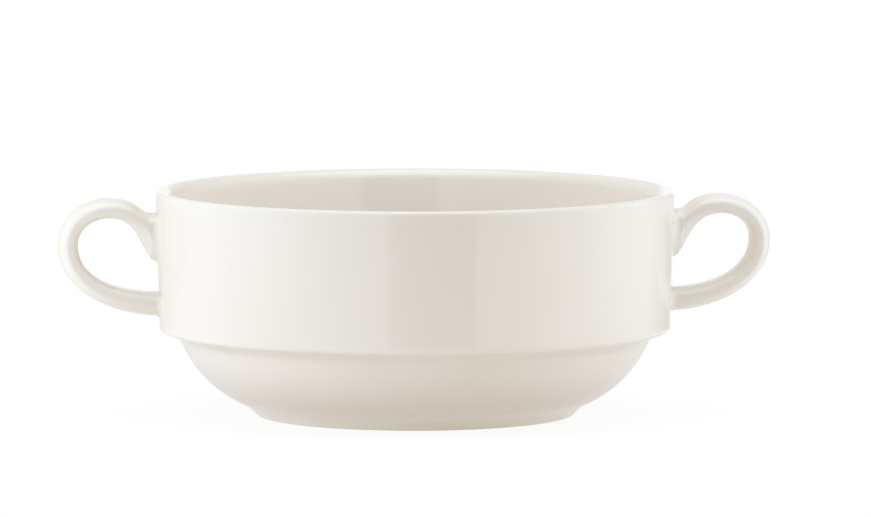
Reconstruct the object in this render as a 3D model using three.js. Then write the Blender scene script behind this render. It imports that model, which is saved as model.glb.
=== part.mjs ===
// Two-handled stacking consomme bowl in cream glazed porcelain.
// One turned bowl body, two cast strap handles, and the slip that lutes each handle end to the wall.
// Millimetres, +Z up. The origin is the centre of the foot on the table; +X runs through the right handle.

import * as THREE from 'three';

// Bowl body, outside
const RIM_DIAMETER = 110;
const LIP_ROUND = { outer: 1, inner: 2.6 }; // the lip's two rounds, which meet on top
const BAND_HEIGHT = 31.2; // inner edge of the stacking ledge up to the top of the lip
const BAND_TAPER = 0.8; // how much smaller the band's radius is at its lower corner than at the rim
const BAND_CORNER_RADIUS = 0.8;
const LEDGE_WIDTH = 4.2; // the ledge, from the band's face in to the lower bowl
const LEDGE_RISE = 1.4; // climb of the ledge from its inner edge to the band's corner
const BASE_HEIGHT = 16.5; // table up to the inner edge of the ledge
const BOWL_BULGE = 2.1; // how far the lower bowl swells past the straight line from waist to ledge
const FOOT_DIAMETER = 67.9;
const FOOT_EDGE_RADIUS = 0.4;
const WAIST_HEIGHT = 2.2; // the foot flares out up to the waist, where the lower bowl starts
const WAIST_FLARE = 1.95;

// Bowl body, inside and underside
const BAND_WALL = 4.3; // wall of the band where it runs into the well
const WELL_RADIUS = 24; // round between the band's inner wall and the flat floor
const FLOOR_THICKNESS = 4.2;
const FOOT_LAND = 2.4; // width of the flat ring that stands on the table
const FOOT_RECESS = 1.5; // height of the underside above the table
const RECESS_SLOPE = 1.2; // how far the recess leans in from the standing ring to the underside

// Handles: places are measured out from the rim's radius, and up or down from the rim and the ledge
const STRAP_THICKNESS = 4.2; // across the strap, in the plane of the loop
const STRAP_WIDTH = 10; // along the wall
const HANDLE_REACH = 18.65; // rim radius out to the strap's centre at the elbow
const ELBOW_DROP = 11;
const CROWN_OUT = 10.1; // rim radius out to the strap's centre at the crown
const CROWN_DROP = 3.4;
const UPPER_ROOT_DROP = 4.5; // rim down to the top edge of the upper root
const UPPER_ROOT_HEIGHT = 9.7;
const LOWER_ROOT_RISE = 5; // inner edge of the ledge up to the underside of the lower root
const LOWER_ROOT_HEIGHT = 5;
const SIDE_FLAT = 0.6; // flat strip on each side of the strap, between its dome and its inner edge
const WEB_EDGE = 2.8; // how far the upper root's web is rounded off along the finger hole
const WEB_ROUNDED = 2.2; // how much deeper than the strap the web is where that edge is fully rounded

// Lengths of the curve handles that shape the loop's two outlines, from root to elbow to crown to root
const OUTER_PULL = { lowerOut: 10.4, lowerUp: 0.7, elbow: 9.2, crown: 6.5, upperOut: 2.3, upperUp: 0 };
const INNER_PULL = { lowerOut: 9.4, lowerUp: 0.4, elbow: 6.3, crown: 5.3, upperOut: 2.9, upperUp: 4.6 };

// Slip joints
const SLIP_THICKNESS = 0.9;
const SLIP_BEAD = { lower: 1.1, upper: 2 }; // how far the slip spreads over the wall, at the sides and below
const BEAD_SAG = 0.85; // share of that bead which is missing on top, where the wet slip ran down
const SLIP_ONWARD = 0.35; // how far the slip keeps to the strap's own direction where it leaves it
const JOINT_GAP = 0.3; // clearance between the slip and the curved wall

// Fineness of the curves
const LATHE_SEGMENTS = 72;
const ARC_STEPS = { foot: 3, bowl: 9, corner: 4, outerLip: 4, innerLip: 7, well: 10 };
const RUN_STEPS = { lower: 13, elbow: 11, upper: 12 };
const SECTION_STEPS = { dome: 5, side: 1, edge: 6 };
const BEAD_STEPS = 4;
const EDGE_SQUARENESS = 3; // exponent of the section's inner edge: 2 for an ellipse, more for flatter sides
const QUARTER_ELLIPSE = 0.5523; // curve handle of a quarter ellipse, as a share of its half axis

// Derived levels and radii
const { degToRad, radToDeg, lerp } = THREE.MathUtils;
const rimRadius = RIM_DIAMETER / 2;
const rimHeight = BASE_HEIGHT + BAND_HEIGHT;
const bandFootRadius = rimRadius - BAND_TAPER;
const footRadius = FOOT_DIAMETER / 2;
const landInnerRadius = footRadius - FOOT_EDGE_RADIUS - FOOT_LAND;
const floorHeight = FOOT_RECESS + FLOOR_THICKNESS;
const footEdge = new THREE.Vector2(footRadius - FOOT_EDGE_RADIUS, FOOT_EDGE_RADIUS);
const waist = new THREE.Vector2(footRadius + WAIST_FLARE, WAIST_HEIGHT);
const ledgeEdge = new THREE.Vector2(bandFootRadius - LEDGE_WIDTH, BASE_HEIGHT);
const cornerHeight = BASE_HEIGHT + LEDGE_RISE + BAND_CORNER_RADIUS;
const cornerCentre = new THREE.Vector2(bandFootRadius - BAND_CORNER_RADIUS, cornerHeight);
const outerLip = new THREE.Vector2(rimRadius - LIP_ROUND.outer, rimHeight - LIP_ROUND.outer);
const innerLip = new THREE.Vector2(outerLip.x, rimHeight - LIP_ROUND.inner);
const wellCentre = new THREE.Vector2(bandFootRadius - BAND_WALL - WELL_RADIUS, floorHeight + WELL_RADIUS);

// Lean from upright, in degrees, of the straight side that touches a lower and an upper round.
// reach is how much further out the side lies from the lower centre than from the upper one.
function leanOfSide(lower, upper, reach) {
  const between = upper.clone().sub(lower);
  return radToDeg(Math.acos(reach / between.length()) - between.angle());
}
const outerLean = leanOfSide(cornerCentre, outerLip, BAND_CORNER_RADIUS - LIP_ROUND.outer);
const innerLean = leanOfSide(wellCentre, innerLip, WELL_RADIUS + LIP_ROUND.inner);

// Outer radius of the band's straight side at a height
function wallRadius(height) {
  const lean = degToRad(outerLean);
  const climb = (height - cornerCentre.y) * Math.sin(lean);
  return cornerCentre.x + (BAND_CORNER_RADIUS + climb) / Math.cos(lean);
}

// Materials
const porcelain = new THREE.MeshStandardMaterial({ color: 0xf0e9de, roughness: 0.12, metalness: 0 });
const slipGlaze = new THREE.MeshStandardMaterial({ color: 0xede5d9, roughness: 0.14, metalness: 0 });

// Points of an arc about a centre, between two angles in degrees
function arc(centre, radius, fromDegrees, toDegrees, steps) {
  return Array.from({ length: steps + 1 }, (_, i) => {
    const angle = degToRad(lerp(fromDegrees, toDegrees, i / steps));
    return new THREE.Vector2(centre.x + radius * Math.cos(angle), centre.y + radius * Math.sin(angle));
  });
}

// Points of an arc from one point to another that swells by the given depth to the right of its chord
function swollenArc(from, to, depth, steps) {
  const chord = to.clone().sub(from);
  const halfChord = chord.length() / 2;
  const radius = (halfChord * halfChord + depth * depth) / (2 * depth);
  const inward = new THREE.Vector2(-chord.y, chord.x).normalize();
  const centre = from.clone().lerp(to, 0.5).addScaledVector(inward, radius - depth);
  const start = from.clone().sub(centre).angle();
  const end = start + 2 * Math.asin(halfChord / radius);
  return arc(centre, radius, radToDeg(start), radToDeg(end), steps);
}

// Bowl body: underside, standing ring, foot, lower bowl, ledge, band, lip, well and floor
function makeBowlBody() {
  const profile = [
    new THREE.Vector2(0, FOOT_RECESS),
    new THREE.Vector2(landInnerRadius - RECESS_SLOPE, FOOT_RECESS),
    new THREE.Vector2(landInnerRadius, 0),
    ...arc(footEdge, FOOT_EDGE_RADIUS, -90, 0, ARC_STEPS.foot),
    ...swollenArc(waist, ledgeEdge, BOWL_BULGE, ARC_STEPS.bowl),
    ...arc(cornerCentre, BAND_CORNER_RADIUS, -90, -outerLean, ARC_STEPS.corner),
    ...arc(outerLip, LIP_ROUND.outer, -outerLean, 90, ARC_STEPS.outerLip),
    ...arc(innerLip, LIP_ROUND.inner, 90, 180 - innerLean, ARC_STEPS.innerLip).slice(1),
    ...arc(wellCentre, WELL_RADIUS, -innerLean, -90, ARC_STEPS.well),
    new THREE.Vector2(0, floorHeight),
  ];
  const geometry = new THREE.LatheGeometry(profile, LATHE_SEGMENTS);
  geometry.rotateX(Math.PI / 2);
  const mesh = new THREE.Mesh(geometry, porcelain);
  mesh.name = 'bowl_body';
  return mesh;
}

// Levels of a handle's two roots, the flat faces where it ends, and the turning points of its loop
const upperRootTop = rimHeight - UPPER_ROOT_DROP;
const upperRootBottom = upperRootTop - UPPER_ROOT_HEIGHT;
const lowerRootBottom = BASE_HEIGHT + LOWER_ROOT_RISE;
const lowerRootTop = lowerRootBottom + LOWER_ROOT_HEIGHT;
const upperRootFace = wallRadius(upperRootTop) + JOINT_GAP + SLIP_THICKNESS;
const lowerRootFace = wallRadius(lowerRootTop) + JOINT_GAP + SLIP_THICKNESS;
const elbow = new THREE.Vector2(rimRadius + HANDLE_REACH, rimHeight - ELBOW_DROP);
const crown = new THREE.Vector2(rimRadius + CROWN_OUT, rimHeight - CROWN_DROP);

// One outline of the loop seen from the front, from the lower root by elbow and crown to the upper root.
// side is 1 for the outside of the loop and -1 for the finger hole.
function loopOutline(side, pull, lowerLevel, upperLevel) {
  const offset = (side * STRAP_THICKNESS) / 2;
  const beside = (base, dx, dy) => new THREE.Vector2(base.x + dx, base.y + dy);
  const lower = new THREE.Vector2(lowerRootFace, lowerLevel);
  const upper = new THREE.Vector2(upperRootFace, upperLevel);
  const out = beside(elbow, offset, 0);
  const top = beside(crown, 0, offset);
  const elbowRise = QUARTER_ELLIPSE * (top.y - out.y);
  const crownRun = QUARTER_ELLIPSE * (out.x - top.x);
  const runs = [
    [lower, beside(lower, pull.lowerOut, pull.lowerUp), beside(out, 0, -pull.elbow), out, RUN_STEPS.lower],
    [out, beside(out, 0, elbowRise), beside(top, crownRun, 0), top, RUN_STEPS.elbow],
    [top, beside(top, -pull.crown, 0), beside(upper, pull.upperOut, pull.upperUp), upper, RUN_STEPS.upper],
  ];
  const points = runs.flatMap(([start, startPull, endPull, end, steps]) =>
    new THREE.CubicBezierCurve(start, startPull, endPull, end).getPoints(steps).slice(0, -1),
  );
  return [...points, upper];
}

// Unit direction of an outline at each of its points
function headingsAlong(points) {
  const ahead = (i) => points[Math.min(i + 1, points.length - 1)];
  const behind = (i) => points[Math.max(i - 1, 0)];
  return points.map((_, i) => ahead(i).clone().sub(behind(i)).normalize());
}

// Ring of points round the strap, in the plane through its inner and outer outline points. The strap is domed
// on the outside, flat at the sides, and rounded off along the finger hole. Where the outlines part at the
// upper root, its flat sides widen into a web.
const sectionPoints = 2 * (SECTION_STEPS.dome + SECTION_STEPS.side + SECTION_STEPS.edge);
function strapRing(inner, outer, innerHeading, outerHeading) {
  const across = outer.clone().sub(inner);
  const height = across.length();
  const direction = across.clone().normalize();
  const webDepth = Math.max(0, height - STRAP_THICKNESS);
  const rounded = Math.min(1, webDepth / WEB_ROUNDED);
  const power = 2 / lerp(EDGE_SQUARENESS, 2, rounded);
  const fullDome = STRAP_THICKNESS / 2 / Math.abs(direction.cross(outerHeading));
  const edgeDepth = lerp(STRAP_THICKNESS / 2 - SIDE_FLAT, WEB_EDGE, rounded);
  const fullEdge = edgeDepth / Math.abs(direction.cross(innerHeading));
  const fitting = Math.min(1, height / (fullDome + SIDE_FLAT + fullEdge));
  const dome = fitting * fullDome;
  const edge = fitting * fullEdge;
  const along = (steps, point) => Array.from({ length: steps }, (_, i) => point(i / steps));
  const quarter = (share) => (Math.PI / 2) * share;
  const half = [
    ...along(SECTION_STEPS.dome, (t) => [Math.sin(quarter(t)), height - dome * (1 - Math.cos(quarter(t)))]),
    ...along(SECTION_STEPS.side, (t) => [1, lerp(height - dome, edge, t)]),
    ...along(SECTION_STEPS.edge, (t) => [
      Math.cos(quarter(t)) ** power,
      edge * (1 - Math.sin(quarter(t)) ** power),
    ]),
  ];
  const mirrored = half.slice(1).map(([side, level]) => [-side, level]);
  return [...half, [0, 0], ...mirrored.reverse()].map(([side, level]) => {
    const place = inner.clone().addScaledVector(direction, level);
    return new THREE.Vector3(place.x, (STRAP_WIDTH / 2) * side, place.y);
  });
}

// Closed skin over a row of rings; each end is closed by strips between its mirrored points
function loft(rings, insideOut) {
  const triangles = [];
  const addFan = (corners) => {
    const fan = insideOut ? corners.toReversed() : corners;
    for (let i = 2; i < fan.length; i += 1) {
      triangles.push([fan[0], fan[i - 1], fan[i]]);
    }
  };
  const at = (ring, i) => ring * sectionPoints + (i % sectionPoints);
  const last = rings.length - 1;
  for (let ring = 0; ring < last; ring += 1) {
    for (let i = 0; i < sectionPoints; i += 1) {
      addFan([at(ring, i), at(ring, i + 1), at(ring + 1, i + 1), at(ring + 1, i)]);
    }
  }
  for (let i = 0; i < sectionPoints / 2; i += 1) {
    const strip = (ring) => [i, i + 1, sectionPoints - i - 1, sectionPoints - i].map((j) => at(ring, j));
    addFan([...new Set(strip(0))].reverse());
    addFan([...new Set(strip(last))]);
  }
  const geometry = new THREE.BufferGeometry();
  geometry.setFromPoints(rings.flat());
  geometry.setIndex(triangles.flat());
  geometry.computeVertexNormals();
  return geometry;
}

// Unit directions out of a root's ring, in its own upright plane
function outwardRound(ring) {
  const middle = ring.reduce((sum, point) => sum.add(point), new THREE.Vector3()).divideScalar(ring.length);
  const sideways = ring.map((_, i) => {
    const before = ring.at(i - 1);
    const after = ring[(i + 1) % ring.length];
    return new THREE.Vector3(0, after.z - before.z, before.y - after.y).normalize();
  });
  const facing = ring.reduce((sum, point, i) => sum + sideways[i].dot(point.clone().sub(middle)), 0);
  return sideways.map((direction) => direction.multiplyScalar(Math.sign(facing)));
}

// The slip between a root's flat face and the round wall. It runs on from the strap, whose ring before the
// root gives the direction, and spreads into a bead.
function slipRings(root, before, bead) {
  const atWall = (y, z) => Math.sqrt((wallRadius(z) + JOINT_GAP) ** 2 - y ** 2);
  const outward = outwardRound(root);
  const curves = root.map((start, i) => {
    const spread = outward[i].clone().multiplyScalar(bead * (1 - BEAD_SAG * Math.max(0, outward[i].z)));
    const end = start.clone().add(spread);
    end.x = atWall(end.y, end.z);
    const onward = start.clone().sub(before[i]);
    onward.multiplyScalar((end.x - start.x) / onward.x);
    onward.multiply(new THREE.Vector3(1, SLIP_ONWARD, SLIP_ONWARD));
    const startPull = start.clone().addScaledVector(onward, QUARTER_ELLIPSE);
    const endPull = end.clone().addScaledVector(spread, -QUARTER_ELLIPSE);
    return new THREE.CubicBezierCurve3(start, startPull, endPull, end).getPoints(BEAD_STEPS);
  });
  const rings = Array.from({ length: BEAD_STEPS + 1 }, (_, k) => curves.map((points) => points[k]));
  const halfway = rings[BEAD_STEPS].map(({ y, z }) => new THREE.Vector3(atWall(y / 2, z), y / 2, z));
  return [...rings, halfway];
}

const outerOutline = loopOutline(1, OUTER_PULL, lowerRootBottom, upperRootTop);
const innerOutline = loopOutline(-1, INNER_PULL, lowerRootTop, upperRootBottom);
const outerHeadings = headingsAlong(outerOutline);
const innerHeadings = headingsAlong(innerOutline);
const strapRings = innerOutline.map((inner, i) =>
  strapRing(inner, outerOutline[i], innerHeadings[i], outerHeadings[i]),
);

// One handle with its two slip joints, on the +X side
function makeHandle(side) {
  const pieces = [
    ['handle', loft(strapRings, false), porcelain],
    ['upper_slip', loft(slipRings(strapRings.at(-1), strapRings.at(-2), SLIP_BEAD.upper), false), slipGlaze],
    ['lower_slip', loft(slipRings(strapRings[0], strapRings[1], SLIP_BEAD.lower), true), slipGlaze],
  ];
  const group = new THREE.Group();
  for (const [name, geometry, material] of pieces) {
    const mesh = new THREE.Mesh(geometry, material);
    mesh.name = `${side}_${name}`;
    group.add(mesh);
  }
  return group;
}

const consommeBowl = new THREE.Group();
const rightHandle = makeHandle('right');
const leftHandle = makeHandle('left');
leftHandle.rotation.z = Math.PI;
consommeBowl.add(makeBowlBody(), leftHandle, rightHandle);

export default consommeBowl;
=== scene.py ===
"""Looks of a two-handled stacking consomme bowl in cream glazed porcelain.

The bowl, its two strap handles and the four slip joints are rebuilt as fine glazed meshes over the frame.
Shapes are worked out in millimetres and become meshes in metres.
+Z is up, and +X runs through the right handle.
"""

import math

import bpy
import numpy as np
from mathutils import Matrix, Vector


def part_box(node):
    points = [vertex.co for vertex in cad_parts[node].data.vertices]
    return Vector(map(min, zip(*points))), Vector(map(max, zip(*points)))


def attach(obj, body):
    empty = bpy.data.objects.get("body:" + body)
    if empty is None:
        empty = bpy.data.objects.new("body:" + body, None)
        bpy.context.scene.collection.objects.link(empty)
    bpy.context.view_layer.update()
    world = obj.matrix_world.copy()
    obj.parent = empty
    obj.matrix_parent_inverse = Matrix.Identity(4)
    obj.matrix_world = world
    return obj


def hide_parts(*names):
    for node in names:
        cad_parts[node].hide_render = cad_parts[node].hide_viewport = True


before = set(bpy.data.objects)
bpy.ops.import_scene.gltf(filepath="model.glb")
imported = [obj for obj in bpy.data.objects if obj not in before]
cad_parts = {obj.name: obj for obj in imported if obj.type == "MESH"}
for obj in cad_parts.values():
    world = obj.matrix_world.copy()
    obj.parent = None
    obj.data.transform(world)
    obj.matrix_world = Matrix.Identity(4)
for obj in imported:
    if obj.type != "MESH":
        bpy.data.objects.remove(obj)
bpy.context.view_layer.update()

MM = 0.001
TINY = 1e-6  # what counts as nothing

# Bowl body, in millimetres
LIP_ROUND = {"outer": 1.0, "inner": 2.6}  # the lip's two rounds, which meet on top
BAND_TAPER = 0.8  # how much smaller the band's radius is at its lower corner than at the rim
BAND_CORNER_RADIUS = 0.8
LEDGE_WIDTH = 4.2
LEDGE_RISE = 1.4
BASE_HEIGHT = 16.5  # table up to the inner edge of the ledge
BOWL_BULGE = 2.1  # how far the lower bowl swells past the straight line from waist to ledge
FOOT_DIAMETER = 67.9
FOOT_EDGE_RADIUS = 0.4
WAIST_HEIGHT = 2.2
WAIST_FLARE = 1.95
BAND_WALL = 4.3
WELL_RADIUS = 24.0
FLOOR_THICKNESS = 4.2
FOOT_LAND = 2.4
FOOT_RECESS = 1.5
RECESS_SLOPE = 1.2
BARE_HEIGHT = 0.2  # how far up from the table the foot is free of glaze

# Handles and slip joints, in millimetres
STRAP_THICKNESS = 4.2
CROWN_OUT = 10.1  # rim radius out to the strap's centre at the crown
ELBOW_DROP = 11.0
UPPER_ROOT_DROP = 4.5
UPPER_ROOT_HEIGHT = 9.7
LOWER_ROOT_HEIGHT = 5.0
SIDE_FLAT = 0.6  # flat strip on each side of the strap, between its dome and its inner edge
EDGE_SQUARENESS = 3.0  # exponent of the section's inner half, 2 for an ellipse and more for flatter sides
WEB_EDGE = 2.8  # how far the upper root's web is rounded off along the finger hole
WEB_ROUNDED = 2.2  # how much deeper than the strap the web is where that edge is fully rounded
QUARTER_ELLIPSE = 0.5523  # curve handle of a quarter ellipse, as a share of its half axis
ROOT_STANDOFF = 1.2  # wall out to the flat face where a handle ends
SLIP_BEAD = {"lower": 1.1, "upper": 2.0}  # how far the slip spreads over the wall, at the sides and below
SLIP_ONWARD = 0.35  # how far the slip keeps to the strap's own direction where it leaves it
BEAD_SAG = 0.85  # share of a bead that is missing on top, where the wet slip ran down
SLIP_SINK = 0.15  # how far the bead runs into the wall

# Lengths of the curve handles that shape the loop's two outlines, from root to elbow to crown to root
OUTER_PULL = {"lower_out": 10.4, "lower_up": 0.7, "elbow": 9.2,
              "crown": 6.5, "upper_out": 2.3, "upper_up": 0.0}
INNER_PULL = {"lower_out": 9.4, "lower_up": 0.4, "elbow": 6.3,
              "crown": 5.3, "upper_out": 2.9, "upper_up": 4.6}

# Fineness of the meshes
PROFILE_STEP = 0.05  # spacing of the profile's raw samples
FEWEST_ARC_POINTS = 4
RING_TURN = math.radians(3)  # most that the profile turns from one ring to the next
RING_RUNS = (0.08, 1.6)  # least and most that it runs on
RING_GROWTH = 0.25  # how fast the runs between rings grow along the profile
LATHE_SEGMENTS = 240
SECTION_STEPS = {"dome": 18, "side": 6, "edge": 24}
SECTION_POINTS = 2 * sum(SECTION_STEPS.values())
RUN_STEPS = {"lower": 44, "elbow": 40, "upper": 48}
BEAD_STEPS = 10
TABLE_STEPS = 96

# How the glaze runs: it fills corners, pools in hollows and thins over edges. Lengths are in millimetres.
GLAZE_SOFTENING = 0.3  # how far it rounds off every corner
HOLLOW_SOFTENING = 0.9  # how far it fills the two hollow corners, under the ledge and at the waist
HOLLOW_REACH = 1.6  # how far such a filled corner spreads
BELL_REACH = 4  # how many times its own width a blur is followed out
POOLING = 0.8  # how much a bend of the profile gathers or thins the glaze
POOLING_REACH = 1.0  # how far that spreads
ROOT_POOLING = 0.2  # pooling where a handle meets its slip joints
EDGE_THINNING = 0.5  # thinning along the inner edges of a strap
EDGE_THINNING_REACH = 0.25  # how far that spreads, as a share of the section's inner half

# Camera, from the photograph's frame of 871 by 517 pixels
IMAGE_SIZE = (871, 517)
SIGHT_POINT = Vector((0, 0, 0.022))  # a point inside the bowl, in metres
SIGHT_PIXEL = (415.0, 310.0)  # where that point lies in the frame
PIXELS_PER_METRE = 4716  # at that point
CAMERA_DISTANCE = 1.8  # metres from that point
CAMERA_AZIMUTH = math.radians(-5.7)
CAMERA_ELEVATION = math.radians(5.663)
SENSOR_WIDTH = 36.0  # millimetres

# Light: a white tent round the table, with an opening for the camera and one behind,
# and a soft lamp near each handle.
# Angles are in degrees from the camera's direction, seen from the bowl, and negative to the left.
# Glows are radiances in linear colour, and 1 is white. Lengths are in metres.
TENT_GLOW = (0.757, 0.742, 0.7, 1)
ROOF_GLOW = (0.858, 1.046, 1.195, 1)  # added to the tent's own, as is that of its bright side
SIDE_GLOW = (0.247, 0.195, 0.155, 1)
SIDE_AZIMUTH = 75
FRONT_OPENING = {"edges": (-11.4, 26.8), "blur": 0.8, "glow": (0.06, 0.01, 0.005, 1)}
BACK_OPENING = {"edges": (132, 164), "blur": 8, "glow": (0.483, 0.452, 0.378, 1)}
ROOF_EDGE = 60  # elevation where the tent's roof starts and its openings end
ROOF_BLUR = 6
BACKDROP_REACH = (16, 10)  # the mirrored backdrop fades in between these angles from straight behind
LAMP_DISTANCE = 0.3
LAMP_SIZE = 0.2
LEFT_LAMP = {"azimuth": -62, "height": 0.1, "watts": 0.374, "colour": (0.658, 0.786, 1.0)}
RIGHT_LAMP = {"azimuth": 80, "height": 0.14, "watts": 0.307, "colour": (0.498, 0.704, 1.0)}
TABLE_RADIUS = 0.168
TABLE_DROP = 0.00002  # keeps the table top just clear of the foot's standing ring
TABLE_COLOUR = (0.5, 0.5, 0.5, 1)
TABLE_RINGS = (0.0365, 0.046, 0.125)  # round the foot, under the lower bowl, and beyond the handles
TABLE_GLOWS = ((0.358, 0.352, 0.301, 1), (0.248, 0.19, 0.141, 1), (0.588, 0.634, 0.613, 1))
TABLE_GLOSS = 0.825  # how white the table shows in the glaze
TABLE_SHADOW = 0.1  # how strongly the table top shows the bowl's shadow

# Glaze and bare porcelain, in linear colour
WHITE = (1, 1, 1, 1)
CREAM = (0.87, 0.812, 0.735, 1)
CREAM_DEEP = (0.858, 0.796, 0.712, 1)
CREAM_POOLED = (0.76, 0.685, 0.585, 1)
CREAM_THIN = (0.86, 0.82, 0.755, 1)
BISCUIT = (0.80, 0.77, 0.72, 1)
BISCUIT_DARK = (0.70, 0.665, 0.61, 1)
GLAZE_IOR = 1.55
COLOUR_START = 0.1  # pooling or thinning from which the colour starts to change
MOST_POOLED = 0.55  # share of the pooled colour where the glaze is thickest
MOST_THINNED = 0.5  # share of the thin colour where it is thinnest
MOST_STAINED = 0.7  # share of the dark colour in the bare ring's stains

# Noise over the surfaces: a scale counts its waves in a metre, and depths are in metres
CLOUDS = {"scale": 28, "detail": 3}
WAVES = {"scale": 55, "detail": 1}
PEEL = {"scale": 700, "detail": 1}  # the glaze's orange peel
GLOSS = {"scale": 180, "detail": 2}
GRAIN = {"scale": 1500, "detail": 3}
STAINS = {"scale": 120, "detail": 2}
CLOUD_LEVELS = (0.35, 0.65)  # noise levels between which the cream deepens
STAIN_LEVELS = (0.45, 0.75)  # noise levels between which the stains darken
ROUGH_LEVELS = (0.3, 0.7)  # noise levels between which a surface roughens
GLAZE_ROUGHNESS = (0.03, 0.065)
BISCUIT_ROUGHNESS = (0.55, 0.75)
WAVE_DEPTH = 0.00003
PEEL_DEPTH = 0.0000007
GRAIN_DEPTH = 0.00004

# Levels and radii that follow from the frame
body_high = np.array(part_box("bowl_body")[1]) / MM
handle_low, handle_high = (np.array(corner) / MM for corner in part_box("right_handle"))
rim_radius = body_high[0]
rim_height = body_high[2]
strap_width = handle_high[1] - handle_low[1]
upper_root_top = rim_height - UPPER_ROOT_DROP
lower_root_top = handle_low[2] + LOWER_ROOT_HEIGHT
band_foot_radius = rim_radius - BAND_TAPER
foot_radius = FOOT_DIAMETER / 2
land_inner_radius = foot_radius - FOOT_EDGE_RADIUS - FOOT_LAND
floor_height = FOOT_RECESS + FLOOR_THICKNESS
foot_edge = np.array([foot_radius - FOOT_EDGE_RADIUS, FOOT_EDGE_RADIUS])
waist = np.array([foot_radius + WAIST_FLARE, WAIST_HEIGHT])
ledge_edge = np.array([band_foot_radius - LEDGE_WIDTH, BASE_HEIGHT])
corner_height = BASE_HEIGHT + LEDGE_RISE + BAND_CORNER_RADIUS
corner_centre = np.array([band_foot_radius - BAND_CORNER_RADIUS, corner_height])
outer_lip = np.array([rim_radius, rim_height]) - LIP_ROUND["outer"]
inner_lip = np.array([outer_lip[0], rim_height - LIP_ROUND["inner"]])
well_centre = np.array([band_foot_radius - BAND_WALL - WELL_RADIUS, floor_height + WELL_RADIUS])


def lean_of_side(lower, upper, reach):
    """Lean from upright of the straight side that touches a lower and an upper round.

    reach is how much further out the side lies from the lower centre than from the upper one.
    """
    between = upper - lower
    return math.acos(reach / np.linalg.norm(between)) - math.atan2(between[1], between[0])


outer_lean = lean_of_side(corner_centre, outer_lip, BAND_CORNER_RADIUS - LIP_ROUND["outer"])
inner_lean = lean_of_side(well_centre, inner_lip, WELL_RADIUS + LIP_ROUND["inner"])


def wall_radius(height):
    """Outer radius of the band's straight side at a height."""
    climb = (height - corner_centre[1]) * math.sin(outer_lean)
    return corner_centre[0] + (BAND_CORNER_RADIUS + climb) / math.cos(outer_lean)


def unit_circle(points):
    """Points round a level circle of radius 1."""
    angles = np.linspace(0, 2 * math.pi, points, endpoint=False)
    return np.stack([np.cos(angles), np.sin(angles), np.zeros(points)], axis=1)


def arc(centre, radius, start, end):
    """Points of an arc between two angles, close enough together to look round."""
    points = max(FEWEST_ARC_POINTS, math.ceil(abs(end - start) * radius / PROFILE_STEP))
    angles = np.linspace(start, end, points)
    return centre + radius * np.stack([np.cos(angles), np.sin(angles)], axis=1)


def swollen_arc(start, end, depth):
    """Points of an arc that swells by the given depth to the right of its chord."""
    chord = end - start
    half_chord = np.linalg.norm(chord) / 2
    radius = (half_chord**2 + depth**2) / (2 * depth)
    inward = np.array([-chord[1], chord[0]]) / np.linalg.norm(chord)
    centre = (start + end) / 2 + inward * (radius - depth)
    first = math.atan2(*(start - centre)[::-1])
    return arc(centre, radius, first, first + 2 * math.asin(half_chord / radius))


def evenly_spaced(points, step):
    """The same line with its points a step apart."""
    lengths = np.linalg.norm(np.diff(points, axis=0), axis=1)
    points = points[np.concatenate([[True], lengths > TINY])]
    along = np.concatenate([[0], np.cumsum(np.linalg.norm(np.diff(points, axis=0), axis=1))])
    places = np.linspace(0, along[-1], round(along[-1] / step) + 1)
    return np.stack([np.interp(places, along, points[:, k]) for k in range(points.shape[1])], axis=1)


def blurred(values, samples):
    """Values along a line, averaged over a bell curve of that many samples; both ends stay in place."""
    reach = math.ceil(BELL_REACH * samples)
    bell = np.exp(-0.5 * (np.arange(-reach, reach + 1) / samples) ** 2)
    before = 2 * values[0] - values[reach:0:-1]
    after = 2 * values[-1] - values[-2 : -reach - 2 : -1]
    return np.convolve(np.concatenate([before, values, after]), bell / bell.sum(), mode="valid")


def glazed_line(samples, along):
    """The bowl's profile with its corners rounded off by the glaze, and its two hollow ones filled."""
    edged, filled = (
        np.stack([blurred(samples[:, k], softening / PROFILE_STEP) for k in (0, 1)], axis=1)
        for softening in (GLAZE_SOFTENING, HOLLOW_SOFTENING)
    )
    soft = edged.copy()
    for corner in (ledge_edge, waist):
        from_corner = along - along[np.argmin(np.linalg.norm(samples - corner, axis=1))]
        soft += np.exp(-((from_corner / HOLLOW_REACH) ** 2))[:, None] * (filled - edged)
    return soft


def ring_places(along, bend):
    """Where along the profile the rings lie: close together in bends, and further apart on straight runs."""
    run = np.clip(RING_TURN / np.maximum(np.abs(bend), TINY), *RING_RUNS)
    slope = RING_GROWTH * along
    run = np.minimum.accumulate(run - slope) + slope
    run = np.minimum.accumulate((run + slope)[::-1])[::-1] - slope
    rings = np.concatenate([[0], np.cumsum(PROFILE_STEP / run[1:])])
    return np.interp(np.linspace(0, rings[-1], round(rings[-1])), rings, along)


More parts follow.
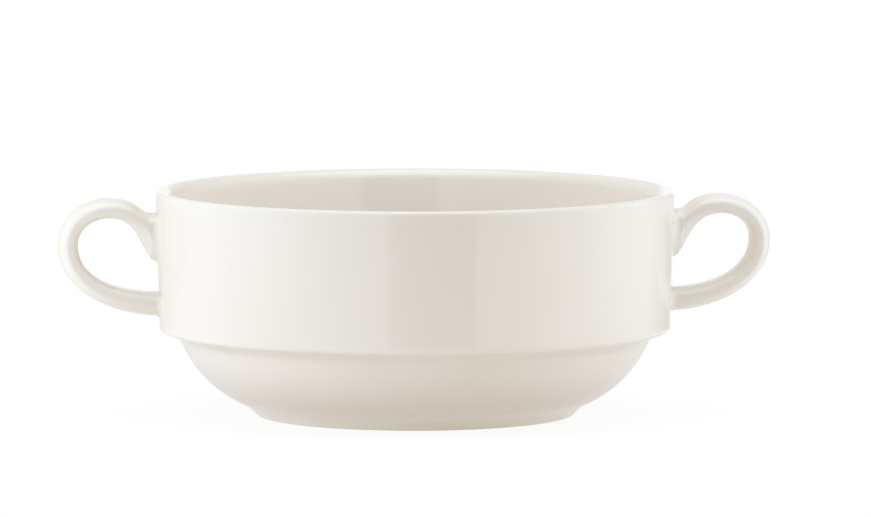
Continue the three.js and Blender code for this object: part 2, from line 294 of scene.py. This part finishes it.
def bowl_profile():
    """Radius, height and pooling of the bowl's rings; glaze pools above 0 and thins below it."""
    chain = np.concatenate([
        [[0, FOOT_RECESS], [land_inner_radius - RECESS_SLOPE, FOOT_RECESS], [land_inner_radius, 0]],
        arc(foot_edge, FOOT_EDGE_RADIUS, -math.pi / 2, 0),
        swollen_arc(waist, ledge_edge, BOWL_BULGE),
        arc(corner_centre, BAND_CORNER_RADIUS, -math.pi / 2, -outer_lean),
        arc(outer_lip, LIP_ROUND["outer"], -outer_lean, math.pi / 2),
        arc(inner_lip, LIP_ROUND["inner"], math.pi / 2, math.pi - inner_lean),
        arc(well_centre, WELL_RADIUS, -inner_lean, -math.pi / 2),
        [[0, floor_height]],
    ])
    samples = evenly_spaced(chain, PROFILE_STEP)
    along = np.arange(len(samples)) * PROFILE_STEP
    soft = glazed_line(samples, along)
    headings = np.unwrap(np.arctan2(*np.diff(soft, axis=0).T[::-1]))
    bend = np.concatenate([[0], np.diff(headings), [0]]) / PROFILE_STEP
    pooling = np.clip(-POOLING * blurred(bend, POOLING_REACH / PROFILE_STEP), -1, 1)
    places = ring_places(along, bend)
    return np.stack([np.interp(places, along, values) for values in (*soft.T, pooling)], axis=1)


def make_piece(name, vertices, faces, materials, pooling, normals=None):
    """A smooth mesh object from points in millimetres."""
    mesh = bpy.data.meshes.new(name)
    mesh.from_pydata((np.asarray(vertices) * MM).tolist(), [], faces)
    mesh.shade_smooth()
    if normals is not None:
        mesh.normals_split_custom_set_from_vertices(np.asarray(normals).tolist())
    for material in materials:
        mesh.materials.append(material)
    attribute = mesh.attributes.new("glaze_pool", "FLOAT", "POINT")
    attribute.data.foreach_set("value", np.asarray(pooling, np.float32))
    piece = bpy.data.objects.new(name, mesh)
    bpy.context.scene.collection.objects.link(piece)
    return piece


def blank_tree(owner):
    """The owner's node tree, emptied."""
    owner.use_nodes = True
    owner.node_tree.nodes.clear()
    return owner.node_tree


def node(tree, kind, inputs=None, **settings):
    """A shader node with its settings, and its inputs linked to sockets or set to values."""
    made = tree.nodes.new(kind)
    for key, value in settings.items():
        setattr(made, key, value)
    for key, value in (inputs or {}).items():
        if isinstance(value, bpy.types.NodeSocket):
            tree.links.new(value, made.inputs[key])
        else:
            made.inputs[key].default_value = value
    return made


def combined(tree, operation, first, second):
    """Two numbers put together."""
    return node(tree, "ShaderNodeMath", {0: first, 1: second}, operation=operation).outputs[0]


def ranged(tree, value, low, high, to_low, to_high):
    """A value mapped from one range to another and kept inside it."""
    inputs = {"Value": value, "From Min": low, "From Max": high, "To Min": to_low, "To Max": to_high}
    return node(tree, "ShaderNodeMapRange", inputs).outputs["Result"]


def noise(tree, place, scale, detail):
    """Soft noise over the object; scale counts its waves in a metre."""
    inputs = {"Vector": place, "Scale": scale, "Detail": detail}
    return node(tree, "ShaderNodeTexNoise", inputs).outputs["Fac"]


def bumped(tree, height, depth, **under):
    """A normal tilted by a relief of that depth, over the normal of a larger relief where one is given."""
    return node(tree, "ShaderNodeBump", {"Height": height, "Distance": depth, **under}).outputs["Normal"]


def mixed(tree, share, first, second):
    """A colour between two colours."""
    mix = node(tree, "ShaderNodeMix", {"Factor": share}, data_type="RGBA")
    for socket, colour in (("A", first), ("B", second)):
        target = next(s for s in mix.inputs if s.name == socket and s.type == "RGBA")
        if isinstance(colour, bpy.types.NodeSocket):
            tree.links.new(colour, target)
        else:
            target.default_value = colour
    return next(s for s in mix.outputs if s.type == "RGBA")


def shader_between(tree, share, first, second):
    """A shader between two shaders."""
    return node(tree, "ShaderNodeMixShader", {"Fac": share, 1: first, 2: second}).outputs[0]


def shader_sum(tree, first, second):
    """Two shaders added up."""
    return node(tree, "ShaderNodeAddShader", {0: first, 1: second}).outputs[0]


def make_glaze(name):
    """Clear gloss glaze on cream porcelain: softly clouded, deeper where it pools, pale over edges."""
    material = bpy.data.materials.new(name)
    tree = blank_tree(material)
    place = node(tree, "ShaderNodeTexCoord").outputs["Object"]
    pool = node(tree, "ShaderNodeAttribute", attribute_name="glaze_pool").outputs["Fac"]
    clouded = ranged(tree, noise(tree, place, **CLOUDS), *CLOUD_LEVELS, 0, 1)
    pooled = ranged(tree, pool, COLOUR_START, 1, 0, MOST_POOLED)
    thinned = ranged(tree, pool, -COLOUR_START, -1, 0, MOST_THINNED)
    colour = mixed(tree, clouded, CREAM, CREAM_DEEP)
    colour = mixed(tree, pooled, colour, CREAM_POOLED)
    colour = mixed(tree, thinned, colour, CREAM_THIN)
    waves = bumped(tree, noise(tree, place, **WAVES), WAVE_DEPTH)
    shader = node(tree, "ShaderNodeBsdfPrincipled", {
        "Base Color": colour,
        "Roughness": ranged(tree, noise(tree, place, **GLOSS), *ROUGH_LEVELS, *GLAZE_ROUGHNESS),
        "IOR": GLAZE_IOR,
        "Normal": bumped(tree, noise(tree, place, **PEEL), PEEL_DEPTH, Normal=waves),
    })
    node(tree, "ShaderNodeOutputMaterial", {"Surface": shader.outputs[0]})
    return material


def make_biscuit():
    """Bare fired porcelain, where the bowl stands in the kiln."""
    material = bpy.data.materials.new("bare_porcelain")
    tree = blank_tree(material)
    place = node(tree, "ShaderNodeTexCoord").outputs["Object"]
    grain = noise(tree, place, **GRAIN)
    stained = ranged(tree, noise(tree, place, **STAINS), *STAIN_LEVELS, 0, MOST_STAINED)
    shader = node(tree, "ShaderNodeBsdfPrincipled", {
        "Base Color": mixed(tree, stained, BISCUIT, BISCUIT_DARK),
        "Roughness": ranged(tree, grain, *ROUGH_LEVELS, *BISCUIT_ROUGHNESS),
        "Normal": bumped(tree, grain, GRAIN_DEPTH),
    })
    node(tree, "ShaderNodeOutputMaterial", {"Surface": shader.outputs[0]})
    return material


def make_bowl(glaze, biscuit):
    """The bowl body, turned from its profile, with a bare ring where it stands."""
    profile = bowl_profile()
    rings = profile[1:-1]
    circle = unit_circle(LATHE_SEGMENTS)
    turned = [radius * circle + [0, 0, height] for radius, height, _ in rings]
    vertices = np.concatenate([*turned, [[0, 0, profile[0, 1]], [0, 0, profile[-1, 1]]]])
    under, well = len(vertices) - 2, len(vertices) - 1
    last = (len(rings) - 1) * LATHE_SEGMENTS
    faces = []
    bare = []
    for i in range(LATHE_SEGMENTS):
        after = (i + 1) % LATHE_SEGMENTS
        faces.append((under, after, i))
        faces.append((last + i, last + after, well))
    for k in range(len(rings) - 1):
        start = k * LATHE_SEGMENTS
        end = start + LATHE_SEGMENTS
        if rings[k : k + 2, 1].max() < BARE_HEIGHT:
            bare.extend(range(len(faces), len(faces) + LATHE_SEGMENTS))
        for i in range(LATHE_SEGMENTS):
            after = (i + 1) % LATHE_SEGMENTS
            faces.append((start + i, start + after, end + after, end + i))
    pooling = np.concatenate([np.repeat(rings[:, 2], LATHE_SEGMENTS), profile[[0, -1], 2]])
    bowl = make_piece("bowl", vertices, faces, [glaze, biscuit], pooling)
    for face in bare:
        bowl.data.polygons[face].material_index = 1
    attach(bowl, "root")
    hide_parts("bowl_body")


def bezier(start, start_pull, end_pull, end, steps):
    """Points of a cubic curve, or of a bundle of them, without the end."""
    t = np.linspace(0, 1, steps, endpoint=False).reshape(-1, *[1] * np.ndim(start))
    from_start = (1 - t) ** 3 * start + 3 * t * (1 - t) ** 2 * start_pull
    return from_start + 3 * t**2 * (1 - t) * end_pull + t**3 * end


def loop_outline(side, pull, lower_level, upper_level):
    """One outline of the loop seen from the front: side is 1 for its outside and -1 for the finger hole."""
    offset = side * STRAP_THICKNESS / 2
    lower = np.array([wall_radius(lower_root_top) + ROOT_STANDOFF, lower_level])
    upper = np.array([wall_radius(upper_root_top) + ROOT_STANDOFF, upper_level])
    out = np.array([handle_high[0] - STRAP_THICKNESS / 2 + offset, rim_height - ELBOW_DROP])
    top = np.array([rim_radius + CROWN_OUT, handle_high[2] - STRAP_THICKNESS / 2 + offset])
    elbow_rise = np.array([0, QUARTER_ELLIPSE * (top[1] - out[1])])
    crown_run = np.array([QUARTER_ELLIPSE * (out[0] - top[0]), 0])
    lower_pull = lower + [pull["lower_out"], pull["lower_up"]]
    upper_pull = upper + [pull["upper_out"], pull["upper_up"]]
    return np.concatenate([
        bezier(lower, lower_pull, out - [0, pull["elbow"]], out, RUN_STEPS["lower"]),
        bezier(out, out + elbow_rise, top + crown_run, top, RUN_STEPS["elbow"]),
        bezier(top, top - [pull["crown"], 0], upper_pull, upper, RUN_STEPS["upper"]),
        [upper],
    ])


def headings_along(outline):
    """Unit direction of an outline at each of its points."""
    headings = np.gradient(outline, axis=0)
    return headings / np.linalg.norm(headings, axis=1)[:, None]


def squareness(direction, heading):
    """How squarely a direction crosses a heading, from 0 to 1."""
    return abs(direction[0] * heading[1] - direction[1] * heading[0])


def strap_ring(inner, outer, inner_heading, outer_heading):
    """Ring of points round the strap: domed outside, flatter inside, rounded off along the finger hole."""
    height = np.linalg.norm(outer - inner)
    direction = (outer - inner) / height
    rounded = min(1, max(0, height - STRAP_THICKNESS) / WEB_ROUNDED)
    dome = STRAP_THICKNESS / 2 / squareness(direction, outer_heading)
    strap_edge = STRAP_THICKNESS / 2 - SIDE_FLAT
    edge = (strap_edge + rounded * (WEB_EDGE - strap_edge)) / squareness(direction, inner_heading)
    fitting = min(1, height / (dome + SIDE_FLAT + edge))
    dome *= fitting
    edge *= fitting
    power = 2 / (EDGE_SQUARENESS + rounded * (2 - EDGE_SQUARENESS))
    over = np.linspace(0, math.pi / 2, SECTION_STEPS["dome"], endpoint=False)
    down = np.linspace(0, 1, SECTION_STEPS["side"], endpoint=False)
    under = np.linspace(0, math.pi / 2, SECTION_STEPS["edge"] + 1)
    y = strap_width / 2 * np.concatenate([np.sin(over), np.ones(len(down)), np.abs(np.cos(under)) ** power])
    level = np.concatenate([
        height - dome * (1 - np.cos(over)),
        height - dome + down * (edge + dome - height),
        edge * (1 - np.sin(under) ** power),
    ])
    y = np.concatenate([y, -y[-2:0:-1]])
    level = np.concatenate([level, level[-2:0:-1]])
    place = inner + direction * level[:, None]
    return np.stack([place[:, 0], y, place[:, 1]], axis=1)


def slip_rings(root, before, bead):
    """Rings of the slip from a root's flat face to the wall.

    It runs on from the strap, whose ring before the root gives the direction, and spreads into a bead.
    """
    across = np.roll(root, -1, axis=0) - np.roll(root, 1, axis=0)
    outward = np.stack([np.zeros(len(root)), across[:, 2], -across[:, 1]], axis=1)
    outward /= np.linalg.norm(outward, axis=1)[:, None]
    if (outward * (root - root.mean(axis=0))).sum() < 0:
        outward *= -1
    spread = outward * (bead * (1 - BEAD_SAG * np.clip(outward[:, 2:], 0, 1)))
    end = root + spread
    end[:, 0] = np.sqrt((wall_radius(end[:, 2]) - SLIP_SINK) ** 2 - end[:, 1] ** 2)
    onward = (root - before) / (root - before)[:, :1] * (end - root)[:, :1]
    onward *= [1, SLIP_ONWARD, SLIP_ONWARD]
    curve = bezier(root, root + QUARTER_ELLIPSE * onward, end - QUARTER_ELLIPSE * spread, end, BEAD_STEPS)
    return np.concatenate([curve, end[None]])


def handle_skin():
    """Rings of the right handle and its two slip joints, from the wall at its lower root to its upper one."""
    outer = loop_outline(1, OUTER_PULL, handle_low[2], upper_root_top)
    inner = loop_outline(-1, INNER_PULL, lower_root_top, upper_root_top - UPPER_ROOT_HEIGHT)
    sections = zip(inner, outer, headings_along(inner), headings_along(outer))
    strap = np.array([strap_ring(*section) for section in sections])
    lower_slip = slip_rings(strap[0], strap[1], SLIP_BEAD["lower"])[:0:-1]
    upper_slip = slip_rings(strap[-1], strap[-2], SLIP_BEAD["upper"])[1:]
    return np.concatenate([lower_slip, strap, upper_slip])


def skin_normals(skin):
    """Unit normals at a skin's points, all on one side of it."""
    around = np.roll(skin, -1, axis=1) - np.roll(skin, 1, axis=1)
    normals = np.cross(np.gradient(skin, axis=0), around)
    return normals / np.linalg.norm(normals, axis=2)[:, :, None]


def skin_pooling(count):
    """Pooling over a skin of that many rings: some at both roots, and thin glaze along the strap's edges."""
    points = np.arange(SECTION_POINTS)
    from_top = np.minimum(points, SECTION_POINTS - points)
    edge_middle = SECTION_STEPS["dome"] + SECTION_STEPS["side"] + SECTION_STEPS["edge"] / 2
    from_edge = (from_top - edge_middle) / (EDGE_THINNING_REACH * SECTION_STEPS["edge"])
    rings = np.arange(count)
    from_wall = np.minimum(rings, count - 1 - rings)
    at_root = np.clip(1 - abs(from_wall - BEAD_STEPS) / BEAD_STEPS, 0, 1)[:, None]
    return ROOT_POOLING * at_root - EDGE_THINNING * np.exp(-(from_edge**2)) * (1 - at_root)


def loft_faces(rings):
    """Faces of a closed skin over a row of rings, each end closed by strips between mirrored points."""
    def at(ring, i):
        return ring * SECTION_POINTS + i % SECTION_POINTS

    last = rings - 1
    faces = [(at(ring, i), at(ring + 1, i), at(ring + 1, i + 1), at(ring, i + 1))
             for ring in range(last) for i in range(SECTION_POINTS)]
    for i in range(SECTION_POINTS // 2):
        strip = list(dict.fromkeys(j % SECTION_POINTS for j in (i, i + 1, -i - 1, -i)))
        faces.append(tuple(at(0, j) for j in strip))
        faces.append(tuple(at(last, j) for j in reversed(strip)))
    return faces


def turned_out(vertices, faces):
    """The faces, all reversed if they enclose a negative volume."""
    volume = sum(np.dot(vertices[f[0]], np.cross(vertices[f[i - 1]], vertices[f[i]]))
                 for f in faces for i in range(2, len(f)))
    return faces if volume > 0 else [tuple(reversed(f)) for f in faces]


def make_handle(side, turn, glaze, slip):
    """One handle with its two slip joints; the glaze runs over all three without a crease."""
    skin = handle_skin() * [turn, turn, 1]
    normals = skin_normals(skin)
    pooling = skin_pooling(len(skin))
    end = len(skin) - 1
    lower = BEAD_STEPS
    upper = end - BEAD_STEPS
    pieces = (
        (f"{side}_lower_joint", 0, lower, slip, f"{side}_lower_slip", "glazed_slip"),
        (f"{side}_strap_handle", lower, upper, glaze, f"{side}_handle", "glazed_porcelain"),
        (f"{side}_upper_joint", upper, end, slip, f"{side}_upper_slip", "glazed_slip"),
    )
    for name, first, last, material, cad_node, slot in pieces:
        part = slice(first, last + 1)
        vertices = skin[part].reshape(-1, 3)
        faces = turned_out(vertices, loft_faces(last + 1 - first))
        from_middle = skin[part] - skin[part].mean(axis=1, keepdims=True)
        outward = normals[part] * np.sign((normals[part] * from_middle).sum())
        piece = make_piece(name, vertices, faces, [material], pooling[part].ravel(), outward.reshape(-1, 3))
        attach(piece, "root")
        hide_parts(cad_node)


def make_camera():
    """The camera at the photograph's viewing angle, aimed so that the bowl lies at its place in the frame."""
    back = Vector((
        math.sin(CAMERA_AZIMUTH) * math.cos(CAMERA_ELEVATION),
        -math.cos(CAMERA_AZIMUTH) * math.cos(CAMERA_ELEVATION),
        math.sin(CAMERA_ELEVATION),
    ))
    right = Vector((math.cos(CAMERA_AZIMUTH), math.sin(CAMERA_AZIMUTH), 0))
    up = back.cross(right)
    aim = SIGHT_POINT.copy()
    aim += right * (IMAGE_SIZE[0] / 2 - SIGHT_PIXEL[0]) / PIXELS_PER_METRE
    aim += up * (SIGHT_PIXEL[1] - IMAGE_SIZE[1] / 2) / PIXELS_PER_METRE
    data = bpy.data.cameras.new("camera")
    data.sensor_width = SENSOR_WIDTH
    data.lens = SENSOR_WIDTH * PIXELS_PER_METRE * CAMERA_DISTANCE / IMAGE_SIZE[0]
    camera = bpy.data.objects.new("camera", data)
    camera.location = SIGHT_POINT + back * CAMERA_DISTANCE
    camera.rotation_mode = "QUATERNION"
    camera.rotation_quaternion = (aim - camera.location).to_track_quat("-Z", "Y")
    bpy.context.scene.collection.objects.link(camera)
    bpy.context.scene.camera = camera


def seen_rays(tree):
    """Two sockets: 1 for the camera's own rays, and 1 for what it sees mirrored or through glass."""
    path = node(tree, "ShaderNodeLightPath").outputs
    mirrored = combined(tree, "MAXIMUM", path["Is Glossy Ray"], path["Is Transmission Ray"])
    return path["Is Camera Ray"], mirrored


def make_table_top():
    """White with a faint shadow to the camera, near white in the glaze, and a soft glow on the bowl."""
    material = bpy.data.materials.new("white_table")
    tree = blank_tree(material)
    camera, mirrored = seen_rays(tree)
    white = node(tree, "ShaderNodeEmission", {"Strength": ranged(tree, camera, 0, 1, TABLE_GLOSS, 1)})
    shade = node(tree, "ShaderNodeBsdfDiffuse", {"Color": WHITE})
    seen = shader_between(tree, TABLE_SHADOW, white.outputs[0], shade.outputs[0])
    place = node(tree, "ShaderNodeTexCoord").outputs["Object"]
    out = node(tree, "ShaderNodeVectorMath", {0: place}, operation="LENGTH").outputs["Value"]
    colour = mixed(tree, ranged(tree, out, *TABLE_RINGS[:2], 0, 1), *TABLE_GLOWS[:2])
    colour = mixed(tree, ranged(tree, out, *TABLE_RINGS[1:], 0, 1), colour, TABLE_GLOWS[2])
    glow = node(tree, "ShaderNodeEmission", {"Color": colour, "Strength": 1})
    matt = node(tree, "ShaderNodeBsdfDiffuse", {"Color": TABLE_COLOUR})
    plain = shader_sum(tree, matt.outputs[0], glow.outputs[0])
    top = shader_between(tree, combined(tree, "MAXIMUM", camera, mirrored), plain, seen)
    node(tree, "ShaderNodeOutputMaterial", {"Surface": top})
    return material


def make_table():
    """A small round light table under the bowl."""
    vertices = TABLE_RADIUS * unit_circle(TABLE_STEPS) - [0, 0, TABLE_DROP]
    mesh = bpy.data.meshes.new("table")
    mesh.from_pydata(vertices.tolist(), [], [tuple(range(TABLE_STEPS))])
    mesh.materials.append(make_table_top())
    table = bpy.data.objects.new("table", mesh)
    bpy.context.scene.collection.objects.link(table)


def level_direction(degrees):
    """The level direction at an angle from the camera's, seen from the bowl."""
    angle = CAMERA_AZIMUTH + math.radians(degrees)
    return (math.sin(angle), -math.cos(angle), 0)


def make_lamp(name, azimuth, height, watts, colour):
    """A round soft lamp beside the bowl, which lights it and isn't mirrored in it."""
    data = bpy.data.lights.new(name, "AREA")
    data.shape = "DISK"
    data.size = LAMP_SIZE
    data.energy = watts
    data.color = colour
    lamp = bpy.data.objects.new(name, data)
    lamp.location = Vector(level_direction(azimuth)) * LAMP_DISTANCE + Vector((0, 0, height))
    lamp.rotation_mode = "QUATERNION"
    lamp.rotation_quaternion = (SIGHT_POINT - lamp.location).to_track_quat("-Z", "Y")
    lamp.visible_camera = False
    lamp.visible_glossy = False
    bpy.context.scene.collection.objects.link(lamp)


def make_tent():
    """The world: a white tent, brighter in its roof and on its lit side, and dim in its openings."""
    world = bpy.data.worlds.new("light_tent")
    tree = blank_tree(world)
    direction = node(tree, "ShaderNodeTexCoord").outputs["Generated"]

    def along(axis):
        inputs = {0: direction, 1: axis}
        return node(tree, "ShaderNodeVectorMath", inputs, operation="DOT_PRODUCT").outputs["Value"]

    def glowing(colour, strength=1):
        return node(tree, "ShaderNodeBackground", {"Color": colour, "Strength": strength}).outputs[0]

    azimuth = combined(tree, "ARCTAN2", along(level_direction(90)), along(level_direction(0)))
    height = along((0, 0, 1))
    roof_edge = [math.sin(math.radians(ROOF_EDGE + sign * ROOF_BLUR)) for sign in (-1, 1)]
    roof = ranged(tree, height, *roof_edge, 0, 1)
    below_roof = ranged(tree, height, *roof_edge, 1, 0)
    lit_side = ranged(tree, along(level_direction(SIDE_AZIMUTH)), 0, 1, 0, 1)
    tent = glowing(TENT_GLOW)
    for glow, strength in ((ROOF_GLOW, roof), (SIDE_GLOW, lit_side)):
        tent = shader_sum(tree, tent, glowing(glow, strength))
    for opening in (FRONT_OPENING, BACK_OPENING):
        left_edge, right_edge = (
            [math.radians(edge + sign * opening["blur"]) for sign in (-1, 1)] for edge in opening["edges"]
        )
        past_left = ranged(tree, azimuth, *left_edge, 0, 1)
        before_right = ranged(tree, azimuth, *right_edge, 1, 0)
        between = combined(tree, "MULTIPLY", past_left, before_right)
        share = combined(tree, "MULTIPLY", between, below_roof)
        tent = shader_between(tree, share, tent, glowing(opening["glow"]))
    camera, mirrored = seen_rays(tree)
    backdrop_edge = [math.cos(math.radians(reach)) for reach in BACKDROP_REACH]
    backdrop = ranged(tree, along(level_direction(180)), *backdrop_edge, 0, 1)
    white = combined(tree, "MAXIMUM", camera, combined(tree, "MULTIPLY", mirrored, backdrop))
    sight = shader_between(tree, white, tent, glowing(WHITE))
    node(tree, "ShaderNodeOutputWorld", {"Surface": sight})
    bpy.context.scene.world = world


glazed_porcelain = make_glaze("glazed_porcelain")
glazed_slip = make_glaze("glazed_slip")
make_camera()
make_bowl(glazed_porcelain, make_biscuit())
make_handle("right", 1, glazed_porcelain, glazed_slip)
make_handle("left", -1, glazed_porcelain, glazed_slip)
make_table()
make_lamp("left_lamp", **LEFT_LAMP)
make_lamp("right_lamp", **RIGHT_LAMP)
make_tent()
bpy.context.scene.view_settings.view_transform = "Standard"
